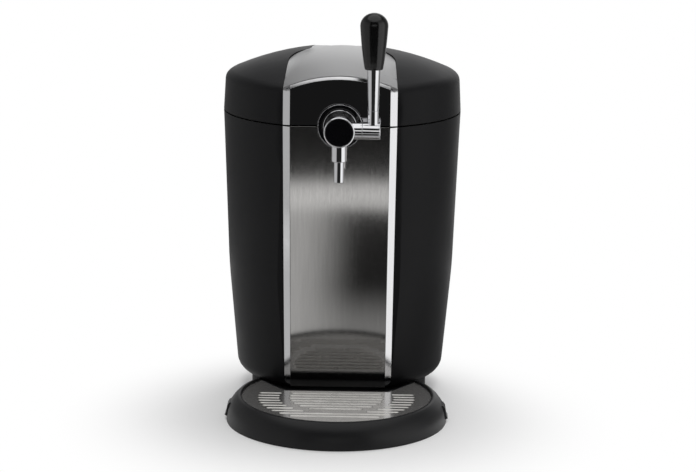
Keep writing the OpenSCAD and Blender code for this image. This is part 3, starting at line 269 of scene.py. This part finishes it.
# Material and bevel in millimetres of every node of the frame
FINISH = {
    "housing": {"body_shell": 0.5, "lid_shell": 0.5, "rear_cover": 0.8},
    "tray": {"drip_tray": 0.5},
    "plinth": {"base_plinth": 0.5},
    "silver": {"lid_top_panel": 1.1},
    "front": {"front_panel": 0.5},
    "gloss": {"lid_front_panel": 0.25},
    "cap": {"tap_cap": 0.15},
    "trim": {"body_trims": 0.3, "lid_trims": 0.3, "lid_arch_trim": 0.3},
    "rosette": {"rosette_lower": 0.15, "rosette_upper": 0.15},
    "collar": {"tap_collar": 0.15},
    "chrome": {"tap_barrel": 0.3, "cap_bezel": 0.15, "spout_sleeve": 0.1, "spout_nozzle": 0.05,
               "lever_hub": 0.15, "lever_ferrule": 0.2, "lever_shaft": 0.1, "tap_shank": 0.3,
               "coupler_nozzle": 0.1, "hinge_pin": 0.2},
    "handle": {"lever_handle": 0.0},
    "grille": {"drip_grille": 0.1},
    "chamber": {"chamber_liner": 0.4},
    "grey": {"body_deck": 0.5, "lid_hinge_arm": 0.6, "coupler_head": 0.5, "gas_sleeve": 0.4},
    "dark": {"gas_cap": 0.4, "pressure_knob": 0.4, "switch_housing": 0.3, "switch_rocker": 0.3,
             "power_inlet": 0.3, "fan_frame": 0.3, "fan_rotor": 0.2, "temperature_sensor": 0.2},
    "pale": {"lid_liner": 0.5},
    "foam": {"chamber_foam": 0.0, "lid_foam": 0.0},
    "rubber": {"base_feet": 0.3, "keg_pad": 0.5, "lid_seal": 0.0, "shank_gasket": 0.1},
    "aluminium": {"cold_block": 0.4, "heat_sink": 0.2},
    "ceramic": {"cooling_module": 0.1},
    "steel": {"base_screws": 0.1, "fan_screws": 0.1, "hinge_screws": 0.1, "hinge_bracket": 0.4},
    "blackened": {"cover_screws": 0.1},
    "board": {"power_board": 0.2},
    "winding": {"transformer": 0.3},
    "brass": {"inlet_pins": 0.3, "shank_nut": 0.4, "valve_plunger": 0.2},
}


# ---------- smooth shading and softened edges ----------

# Edges that fold by more than this are bevelled and stay sharp
HARD_FOLD = math.radians(32)
WELD_REACH = 0.002 * MM


def geometry_group(name):
    tree = bpy.data.node_groups.new(name, "GeometryNodeTree")
    tree.interface.new_socket("Geometry", in_out="INPUT", socket_type="NodeSocketGeometry")
    tree.interface.new_socket("Geometry", in_out="OUTPUT", socket_type="NodeSocketGeometry")
    return tree, tree.nodes.new("NodeGroupInput"), tree.nodes.new("NodeGroupOutput")


def welding_group():
    """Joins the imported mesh's split corners and drops its stored normals."""
    tree, start, end = geometry_group("weld_corners")
    drop = tree.nodes.new("GeometryNodeRemoveAttribute")
    drop.inputs["Name"].default_value = "custom_normal"
    merge = tree.nodes.new("GeometryNodeMergeByDistance")
    merge.inputs["Distance"].default_value = WELD_REACH
    tree.links.new(start.outputs[0], drop.inputs["Geometry"])
    tree.links.new(drop.outputs["Geometry"], merge.inputs["Geometry"])
    tree.links.new(merge.outputs["Geometry"], end.inputs[0])
    return tree


def smoothing_group(angle):
    """Smooth faces, with edges over the angle kept sharp."""
    tree, start, end = geometry_group("smooth_by_angle")
    faces = tree.nodes.new("GeometryNodeSetShadeSmooth")
    edges = tree.nodes.new("GeometryNodeSetShadeSmooth")
    edges.domain = "EDGE"
    edges.inputs["Shade Smooth"].default_value = False
    fold = tree.nodes.new("GeometryNodeInputMeshEdgeAngle")
    over = tree.nodes.new("FunctionNodeCompare")
    over.operation = "GREATER_THAN"
    over.inputs["B"].default_value = angle
    tree.links.new(fold.outputs["Unsigned Angle"], over.inputs["A"])
    tree.links.new(over.outputs["Result"], edges.inputs["Selection"])
    tree.links.new(start.outputs[0], faces.inputs["Geometry"])
    tree.links.new(faces.outputs["Geometry"], edges.inputs["Geometry"])
    tree.links.new(edges.outputs["Geometry"], end.inputs[0])
    return tree


WELD = welding_group()
SMOOTH = smoothing_group(HARD_FOLD)


def add_group(piece, group):
    modifier = piece.modifiers.new(group.name, "NODES")
    modifier.node_group = group


def soften(piece, width):
    """Bevels the piece's hard edges by width and shades the rest smooth."""
    add_group(piece, WELD)
    if width:
        bevel = piece.modifiers.new("soft_edges", "BEVEL")
        bevel.width = width
        bevel.segments = 2
        bevel.limit_method = "ANGLE"
        bevel.angle_limit = HARD_FOLD
        bevel.harden_normals = False
        bevel.miter_outer = "MITER_ARC"
    add_group(piece, SMOOTH)
    normals = piece.modifiers.new("flat_faces", "WEIGHTED_NORMAL")
    normals.keep_sharp = True


def paint(piece, material):
    if not piece.material_slots:
        piece.data.materials.append(material)
    for slot in piece.material_slots:
        slot.material = material


def dress_nodes():
    for look, group in FINISH.items():
        for name, bevel_mm in group.items():
            paint(NODES[name], MATERIALS[look])
            soften(NODES[name], bevel_mm * MM)


dress_nodes()


# ---------- pieces that the frame leaves plain ----------
# Their sizes are in millimetres from the keg's axis and follow the construction model

def make_piece(name, points, faces, look, body, bevel_mm=0.0):
    """A mesh piece on a body."""
    mesh = bpy.data.meshes.new(name)
    mesh.from_pydata([(x * MM, y * MM + KEG_AXIS_Y, z * MM) for x, y, z in points], [], faces)
    tidy = bmesh.new()
    tidy.from_mesh(mesh)
    bmesh.ops.recalc_face_normals(tidy, faces=tidy.faces)
    tidy.to_mesh(mesh)
    tidy.free()
    piece = bpy.data.objects.new(name, mesh)
    bpy.context.scene.collection.objects.link(piece)
    paint(piece, MATERIALS[look])
    soften(piece, bevel_mm * MM)
    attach(piece, body)
    return piece


def sweep(sections, closed=False):
    """Points and faces of a bar through its cross-sections, capped unless it closes on itself."""
    size, count = len(sections[0]), len(sections)
    points = [point for section in sections for point in section]
    faces = []
    for i in range(count if closed else count - 1):
        here, there = i * size, (i + 1) % count * size
        for k in range(size):
            after = (k + 1) % size
            faces.append((here + k, here + after, there + after, there + k))
    if not closed:
        faces += [tuple(range(size)), tuple((count - 1) * size + k for k in range(size))]
    return points, faces


def oval(centre, radii, angles):
    """Points of an oval in plan at angles in degrees."""
    turns = [math.radians(angle) for angle in angles]
    return [(centre[0] + radii[0] * math.cos(turn), centre[1] + radii[1] * math.sin(turn)) for turn in turns]


# Round steps behind the cap: radius and front
ROSETTE = (25.4, 124.0)
FLANGE = (19.1, 124.2)
NECK = (15.4, 132.0)
EDGE_OUT, EDGE_BACK, EDGE_IN = 0.05, 0.2, 0.3
EDGE_BEVEL = 0.08
EDGE_STEP = 4
ABOVE_SEAM, BELOW_SEAM = (1, 179), (181, 359)


def edge_ring(name, step, proud, width, body, angles=(0, 360)):
    """Bright edge of a round step, leaning from the step's side in to its front, which it is proud of."""
    outer, front = step[0] + EDGE_OUT, step[1] + proud
    inner, back = outer - width - EDGE_IN, front - width - EDGE_BACK
    profile = [(outer, back), (outer, front - width), (outer - width, front), (inner, front), (inner, back)]
    start, end = angles
    closed = end - start == 360
    count = (end - start) // EDGE_STEP
    sections = []
    for i in range(count if closed else count + 1):
        turn = math.radians(start + (end - start) * i / count)
        sections.append([(r * math.cos(turn), -y, TAP_Z + r * math.sin(turn)) for r, y in profile])
    make_piece(name, *sweep(sections, closed), "chrome", body, EDGE_BEVEL)


def make_tap_rings():
    edge_ring("rosette_edge_upper", ROSETTE, 0.1, 1.3, "lid", ABOVE_SEAM)
    edge_ring("rosette_edge_lower", ROSETTE, 0.1, 1.3, "base", BELOW_SEAM)
    edge_ring("collar_edge", FLANGE, 0.3, 1.2, "base")
    edge_ring("neck_edge", NECK, 0.1, 1.2, "base")


# The lid's front leans back; the silver panel's arc across is swept along an arc from front to back
LID_FACE_Y, LID_LEAN = 120.8, math.radians(4.295)
PATH_Y, PATH_Z, PATH_R, CROSS_R = -11.3, TAP_Z - 329.3, 240.0, 160.0


def arch_point(x, depth, out):
    """Place out ahead of the lid's leaning front, at a depth under the silver panel's dome."""
    reach = PATH_R + math.sqrt((CROSS_R - depth) ** 2 - x * x)
    y, z = -LID_FACE_Y - out, TAP_Z
    for _ in range(4):
        z = PATH_Z + math.sqrt(reach * reach - (y - PATH_Y) ** 2)
        y = -LID_FACE_Y - out + (z - TAP_Z) * math.tan(LID_LEAN)
    return x, y, z


# The plain arch strip, and what the bead adds: ahead of it, its nose and its foot
ARCH_HALF, ARCH_OUT, ARCH_H, ARCH_DEPTH = 55.0, 3.0, 2.2, 2.4
BEAD_PROUD, BEAD_TOP, BEAD_BACK = 0.65, 1.0, -1.0
NOSE_OUT, NOSE_LOW, NOSE_HIGH = 1.6, 1.1, 1.35
FOOT_OUT, FOOT_SLOPE = 0.25, 0.05
BEAD_BEVEL, BEAD_STEPS = 0.12, 44


def make_arch_bead():
    """Chamfered bead under the silver panel, in place of the plain strip."""
    low, high = ARCH_DEPTH + ARCH_H, ARCH_DEPTH + FOOT_SLOPE
    proud = ARCH_OUT + BEAD_PROUD
    nose = proud + NOSE_OUT
    profile = [(low, BEAD_BACK), (low, FOOT_OUT), (low - NOSE_LOW, FOOT_OUT + FOOT_SLOPE), (low - NOSE_LOW, nose),
               (low - NOSE_HIGH, nose), (BEAD_TOP, proud + FOOT_SLOPE), (BEAD_TOP, proud), (high, proud),
               (high, BEAD_BACK)]
    sections = []
    for i in range(BEAD_STEPS + 1):
        x = -ARCH_HALF + 2 * ARCH_HALF * i / BEAD_STEPS
        sections.append([arch_point(x, depth, out) for depth, out in profile])
    bead = make_piece("arch_bead", *sweep(sections), "trim", "lid", BEAD_BEVEL)
    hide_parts("lid_arch_trim")


# Crown of the black lid, and the silver panel's outline in plan: front, waist, shoulder and round tail
DOME_TOP, DOME_R = 393.75, 307.6
FRONT_X, FRONT_Y = 62.4, -128.8
WAIST_X, WAIST_Y = 59.8, -50.0
SHOULDER_X, SHOULDER_HALF_Y = 34.0, 44.0
TAIL_X, TAIL_START_Y, TAIL_R, TAIL_Y = 36.0, 0.0, 33.0, 46.0
FLANK_START_Y, FLANK_STEP, TAIL_STEPS = -98, 6, 5
# The raised edge: its width in from the outline, its height, and shares of the width at which it is cut
FLANK_W, FLANK_RISE, FLANK_SHARES = 14.0, 3.2, (0.0, 0.15, 0.35, 0.6, 1.0)
FLANK_LIFT, UNDER_CROWN, FLANK_SINK = 0.04, 0.15, 0.8


def silver_height(x, y):
    reach = PATH_R + math.sqrt(CROSS_R ** 2 - x * x)
    return PATH_Z + math.sqrt(reach * reach - (y - PATH_Y) ** 2)


def dome_height(x, y):
    return DOME_TOP - DOME_R + math.sqrt(DOME_R ** 2 - x * x - y * y)


def silver_outline():
    """Edge of the silver panel from its right side round the tail to its left side."""
    right = []
    for y in range(FLANK_START_Y, int(WAIST_Y) + 1, FLANK_STEP):
        along = (y - FRONT_Y) / (WAIST_Y - FRONT_Y)
        right.append((FRONT_X + (WAIST_X - FRONT_X) * along, y))
    right += oval((SHOULDER_X, WAIST_Y), (WAIST_X - SHOULDER_X, SHOULDER_HALF_Y), range(0, 81, 5))
    for i in range(TAIL_STEPS):
        along = i / TAIL_STEPS
        right.append((TAIL_X + (TAIL_R - TAIL_X) * along, TAIL_START_Y + (TAIL_Y - TAIL_START_Y) * along))
    right += oval((0.0, TAIL_Y), (TAIL_R, TAIL_R), range(0, 91, 10))
    return right + [(-x, y) for x, y in reversed(right[:-1])]


def make_silver_flanks():
    """The silver sheet's edge, swept up to the crown of the black lid beside it."""
    outline = silver_outline()
    sections = []
    for i, (x, y) in enumerate(outline):
        before, after = outline[max(i - 1, 0)], outline[min(i + 1, len(outline) - 1)]
        along = Vector((after[0] - before[0], after[1] - before[1])).normalized()
        inward = (-along.y, along.x)
        section = []
        for share in FLANK_SHARES:
            px, py = x + inward[0] * FLANK_W * share, y + inward[1] * FLANK_W * share
            low = silver_height(px, py) + FLANK_LIFT
            rise = min(max(dome_height(px, py) - UNDER_CROWN - low, 0.0), FLANK_RISE)
            section.append((px, py, low + rise * (1 - share) ** 2))
        px, py, low = section[-1]
        section += [(px, py, low - FLANK_SINK), (x, y, silver_height(x, y) - FLANK_SINK)]
        sections.append(section)
    make_piece("silver_flanks", *sweep(sections), "silver", "lid")


# Grille plate: rows of slots inside a circle, broken by a solid ring
PLATE_TOP = 25.6
ROW_COUNT, FIRST_ROW, ROW_PITCH, SLOT_W = 10, 148.2, 9.55, 4.6
SLOTS_Y, SLOTS_R, RING_R, RING_W = 162.4, 87.0, 57.4, 9.9
# A slot's pressed rim: radius from the slot's half width, shift in Y and height from the plate's top
RIM_PROFILE = ((0.05, 0.0, 0.02), (-1.0, -0.5, -1.05), (-1.0, -0.5, -1.35), (0.05, 0.0, -1.40))
RIM_BEVEL, RIM_STEPS = 0.05, 6


def half_chord(radius, offset):
    return math.sqrt(radius * radius - offset * offset) if abs(offset) < radius else 0.0


def slot_spans():
    """Ends in X and the row in Y of every slot of the plate."""
    spans = []
    for i in range(ROW_COUNT):
        row = FIRST_ROW + i * ROW_PITCH
        outer = half_chord(SLOTS_R, SLOTS_Y - row)
        ring_out = half_chord(RING_R + RING_W / 2, SLOTS_Y - row)
        ring_in = half_chord(RING_R - RING_W / 2, SLOTS_Y - row)
        if ring_out > SLOT_W:
            spans += [(ring_out, outer, -row), (-outer, -ring_out, -row)]
        else:
            spans.append((-outer, outer, -row))
        if ring_in > 2 * SLOT_W:
            spans.append((-ring_in, ring_in, -row))
    return spans


def slot_lip(x0, x1, y):
    """Cross-sections round a slot, whose rim slopes down, widest on the side towards the machine."""
    half, sections = SLOT_W / 2, []
    for centre, first in ((x1 - half, -90), (x0 + half, 90)):
        for i in range(RIM_STEPS + 1):
            turn = math.radians(first + 180 * i / RIM_STEPS)
            sections.append([(centre + (half + r) * math.cos(turn), y + shift + (half + r) * math.sin(turn),
                              PLATE_TOP + z) for r, shift, z in RIM_PROFILE])
    return sections


def make_grille_lips():
    points, faces = [], []
    for span in slot_spans():
        new_points, new_faces = sweep(slot_lip(*span), True)
        faces += [tuple(k + len(points) for k in face) for face in new_faces]
        points += new_points
    make_piece("grille_lips", points, faces, "lips", "grille", RIM_BEVEL)


make_tap_rings()
make_arch_bead()
make_silver_flanks()
make_grille_lips()


# ---------- camera ----------

IMAGE_W, IMAGE_H = 696, 472
FOCAL_PX = 2345.8
SENSOR_MM = 36.0
CAMERA_PLACE = Vector((0.0529, KEG_AXIS_Y - 2.6516, 0.7565))
CAMERA_PITCH = math.radians(12.417)
CAMERA_YAW = math.radians(0.968)
CAMERA_ROLL = math.radians(-0.654)


def make_camera():
    data = bpy.data.cameras.new("camera")
    data.sensor_width = SENSOR_MM
    data.lens = FOCAL_PX / IMAGE_W * SENSOR_MM
    data.clip_start, data.clip_end = 0.05, 50
    camera = bpy.data.objects.new("camera", data)
    bpy.context.scene.collection.objects.link(camera)
    ahead = Vector((-math.sin(CAMERA_YAW) * math.cos(CAMERA_PITCH),
                    math.cos(CAMERA_YAW) * math.cos(CAMERA_PITCH), -math.sin(CAMERA_PITCH)))
    right = ahead.cross(Vector((0, 0, 1))).normalized()
    up = right.cross(ahead)
    right, up = (right * math.cos(CAMERA_ROLL) - up * math.sin(CAMERA_ROLL),
                 right * math.sin(CAMERA_ROLL) + up * math.cos(CAMERA_ROLL))
    turn = Matrix((right, up, -ahead)).transposed().to_4x4()
    camera.matrix_world = Matrix.Translation(CAMERA_PLACE) @ turn
    bpy.context.scene.camera = camera


make_camera()


# ---------- studio ----------

# Turns about Z in degrees over which one level of the room eases into the next, seen from the tap:
# 0 is straight ahead of the machine, and each side is counted from there
AHEAD_TO_SIDE = (34, 42)
RIGHT_TO_DUSK, DUSK_TO_BACK_RIGHT = (82, 112), (135, 170)
LEFT_TO_DUSK, DUSK_TO_BACK_LEFT = (100, 140), (160, 178)
RIGHT_LEVEL, RIGHT_DUSK_LEVEL = 1.0, 0.20
LEFT_LEVEL, LEFT_DUSK_LEVEL = 0.46, 0.24
BACK_LEVEL, AHEAD_LEVEL = 0.82, 0.018


class Studio(Nodes):
    """Node tree of a stage surface or of the world."""

    def turn(self, x, y):
        """Angle in degrees of a place or direction, from -Y towards +X."""
        ahead = self.calc("MULTIPLY", y, -1.0)
        return self.calc("MULTIPLY", self.calc("ARCTAN2", x, ahead), 180 / math.pi)

    def sides(self, turn):
        """Dark ahead, a bright wall to the right, a dimmer one to the left and dusk before the back."""
        other = self.calc("MULTIPLY", turn, -1.0)
        steps = ((turn, AHEAD_TO_SIDE, RIGHT_LEVEL),
                 (turn, RIGHT_TO_DUSK, RIGHT_DUSK_LEVEL - RIGHT_LEVEL),
                 (turn, DUSK_TO_BACK_RIGHT, BACK_LEVEL - RIGHT_DUSK_LEVEL),
                 (other, AHEAD_TO_SIDE, LEFT_LEVEL),
                 (other, LEFT_TO_DUSK, LEFT_DUSK_LEVEL - LEFT_LEVEL),
                 (other, DUSK_TO_BACK_LEFT, BACK_LEVEL - LEFT_DUSK_LEVEL))
        total = None
        for value, angles, level in steps:
            part = self.smooth(value, *angles, 0.0, level)
            total = part if total is None else self.calc("ADD", total, part)
        return total

    def any_ray(self, *names):
        path = self.add("ShaderNodeLightPath")
        total = path.outputs[names[0]]
        for name in names[1:]:
            total = self.calc("MAXIMUM", total, path.outputs[name])
        return total

    def mix(self, factor, first, second):
        node = self.add("ShaderNodeMixShader")
        for socket, output in zip(node.inputs, (factor, first, second)):
            self.link(output, socket)
        return node.outputs[0]

    def glow(self, kind, level):
        """Emission or background of a level, which is a number or an output."""
        node = self.add(kind)
        node.inputs["Color"].default_value = (1, 1, 1, 1)
        if isinstance(level, float):
            node.inputs["Strength"].default_value = level
        else:
            self.link(level, node.inputs["Strength"])
        return node.outputs[0]


# Parts of a direction of length 1 over which a level eases, and for the fills the levels too
WALL_TOP, WALL_TOP_LEVEL = (0.25, 0.68), 0.45
OVERHEAD_START = (0.70, 0.82)
LOW_AHEAD_START, LOW_AHEAD_END, LOW_AHEAD_SIDES = (0.08, 0.15), (0.28, 0.40), (-0.96, -0.88)
LOW_AHEAD_LEVEL = 0.9
FILL_FROM_BACK, FILL_FROM_ABOVE = (-0.7, 0.8, 0.05, 0.36), (0.3, 0.9, 0.0, 0.48)


def make_world():
    """White behind the machine, with a plain soft room for light and reflections."""
    world = bpy.data.worlds.new("studio")
    bpy.context.scene.world = world
    world.use_nodes = True
    tree = Studio(world.node_tree)
    tree.tree.nodes.clear()
    surface = tree.add("ShaderNodeOutputWorld").inputs["Surface"]
    x, y, z = tree.split(tree.add("ShaderNodeTexCoord").outputs["Generated"])
    walls = tree.calc("MULTIPLY", tree.sides(tree.turn(x, y)), tree.smooth(z, *WALL_TOP, 1.0, WALL_TOP_LEVEL))
    low = tree.calc("MULTIPLY", tree.smooth(z, *LOW_AHEAD_START, 0.0, LOW_AHEAD_LEVEL),
                    tree.smooth(z, *LOW_AHEAD_END, 1.0, 0.0))
    low = tree.calc("MULTIPLY", low, tree.smooth(y, *LOW_AHEAD_SIDES, 1.0, 0.0))
    around = tree.calc("ADD", tree.calc("ADD", walls, low), AHEAD_LEVEL)
    shown = tree.calc("MAXIMUM", around, tree.smooth(z, *OVERHEAD_START, 0.0, 1.0))
    fill = tree.calc("ADD", tree.smooth(y, *FILL_FROM_BACK), tree.smooth(z, *FILL_FROM_ABOVE))
    glossy = tree.mix(tree.any_ray("Is Glossy Ray", "Is Transmission Ray"),
                      tree.glow("ShaderNodeBackground", fill), tree.glow("ShaderNodeBackground", shown))
    seen = tree.mix(tree.any_ray("Is Camera Ray"), glossy, tree.glow("ShaderNodeBackground", 1.0))
    tree.link(seen, surface)


FLOOR_HALF = 8.0
FLOOR_COLOUR, FLOOR_ROUGHNESS, FLOOR_SPECULAR = (0.93, 0.93, 0.93, 1), 0.8, 0.1
# Distances from a place under the machine's front, in metres, over which the floor changes
FLOOR_CENTRE_Y = -0.10
SHADED_REACH, SHADOW_LIFT = (0.14, 0.32), 0.15
SHEET_REACH = (0.12, 0.17)
NEAR_RIGHT_START_X, NEAR_RIGHT_REACH, NEAR_RIGHT_LEVELS = (-0.07, 0.02), (0.17, 0.36), (0.26, 0.02)
NEAR_LEFT_LEVEL = 0.52
BAND_START, BAND_END, BAND_LEVEL = (0.63, 0.68), (0.74, 0.82), 0.85


def mirrored_floor(tree, x, y, reach):
    """What reflections show of the floor: near the machine, a light band ahead and the room's sides."""
    on_right = tree.smooth(x, *NEAR_RIGHT_START_X, 0.0, 1.0)
    near_right = tree.calc("MULTIPLY", on_right, tree.smooth(reach, *NEAR_RIGHT_REACH, *NEAR_RIGHT_LEVELS))
    near_left = tree.calc("MULTIPLY", tree.calc("SUBTRACT", 1.0, on_right), NEAR_LEFT_LEVEL)
    near = tree.calc("MULTIPLY", tree.calc("ADD", near_right, near_left), tree.smooth(reach, *BAND_START, 1.0, 0.0))
    band = tree.calc("MULTIPLY", tree.smooth(reach, *BAND_START, 0.0, 1.0),
                     tree.smooth(reach, *BAND_END, BAND_LEVEL, 0.0))
    around = tree.calc("ADD", tree.sides(tree.turn(x, y)), AHEAD_LEVEL)
    return tree.glow("ShaderNodeEmission", tree.calc("MAXIMUM", around, tree.calc("ADD", near, band)))


def make_floor():
    """Pale sheet that keeps the machine's shadow and turns plain white further out."""
    mesh = bpy.data.meshes.new("floor")
    mesh.from_pydata([(-FLOOR_HALF, -FLOOR_HALF, 0), (FLOOR_HALF, -FLOOR_HALF, 0),
                      (FLOOR_HALF, FLOOR_HALF, 0), (-FLOOR_HALF, FLOOR_HALF, 0)], [], [(0, 1, 2, 3)])
    floor = bpy.data.objects.new("floor", mesh)
    bpy.context.scene.collection.objects.link(floor)
    material = bpy.data.materials.new("floor_sheet")
    material.use_nodes = True
    floor.data.materials.append(material)
    tree = Studio(material.node_tree)
    shader = tree.tree.nodes["Principled BSDF"]
    shader.inputs["Base Color"].default_value = FLOOR_COLOUR
    shader.inputs["Roughness"].default_value = FLOOR_ROUGHNESS
    shader.inputs["Specular IOR Level"].default_value = FLOOR_SPECULAR
    sheet = shader.outputs[0]
    x, y, _ = tree.split(tree.add("ShaderNodeTexCoord").outputs["Object"])
    y = tree.calc("SUBTRACT", y, FLOOR_CENTRE_Y)
    reach = tree.calc("SQRT", tree.calc("ADD", tree.calc("MULTIPLY", x, x), tree.calc("MULTIPLY", y, y)))
    seen = tree.mix(tree.smooth(reach, *SHADED_REACH, SHADOW_LIFT, 1.0), sheet, tree.glow("ShaderNodeEmission", 1.0))
    mirrored = tree.mix(tree.smooth(reach, *SHEET_REACH, 0.0, 1.0), sheet, mirrored_floor(tree, x, y, reach))
    other = tree.mix(tree.any_ray("Is Glossy Ray", "Is Transmission Ray"), sheet, mirrored)
    surface = tree.mix(tree.any_ray("Is Camera Ray"), other, seen)
    tree.link(surface, tree.tree.nodes["Material Output"].inputs["Surface"])


MIDDLE = (0, 0, 0.22)


def area_light(name, place, width, height, power):
    """Soft lamp that faces the machine and isn't seen in reflections."""
    data = bpy.data.lights.new(name, "AREA")
    data.shape = "RECTANGLE"
    data.size, data.size_y = width, height
    data.energy = power
    lamp = bpy.data.objects.new(name, data)
    lamp.location = place
    lamp.rotation_euler = (Vector(MIDDLE) - Vector(place)).to_track_quat("-Z", "Y").to_euler()
    lamp.visible_glossy = False
    bpy.context.scene.collection.objects.link(lamp)


make_world()
make_floor()
area_light("top_box", (0.1, 0.9, 2.2), 2.0, 1.2, 40)
area_light("right_box", (2.0, 1.4, 0.9), 0.9, 1.6, 5)

bpy.context.scene.view_settings.view_transform = "Standard"
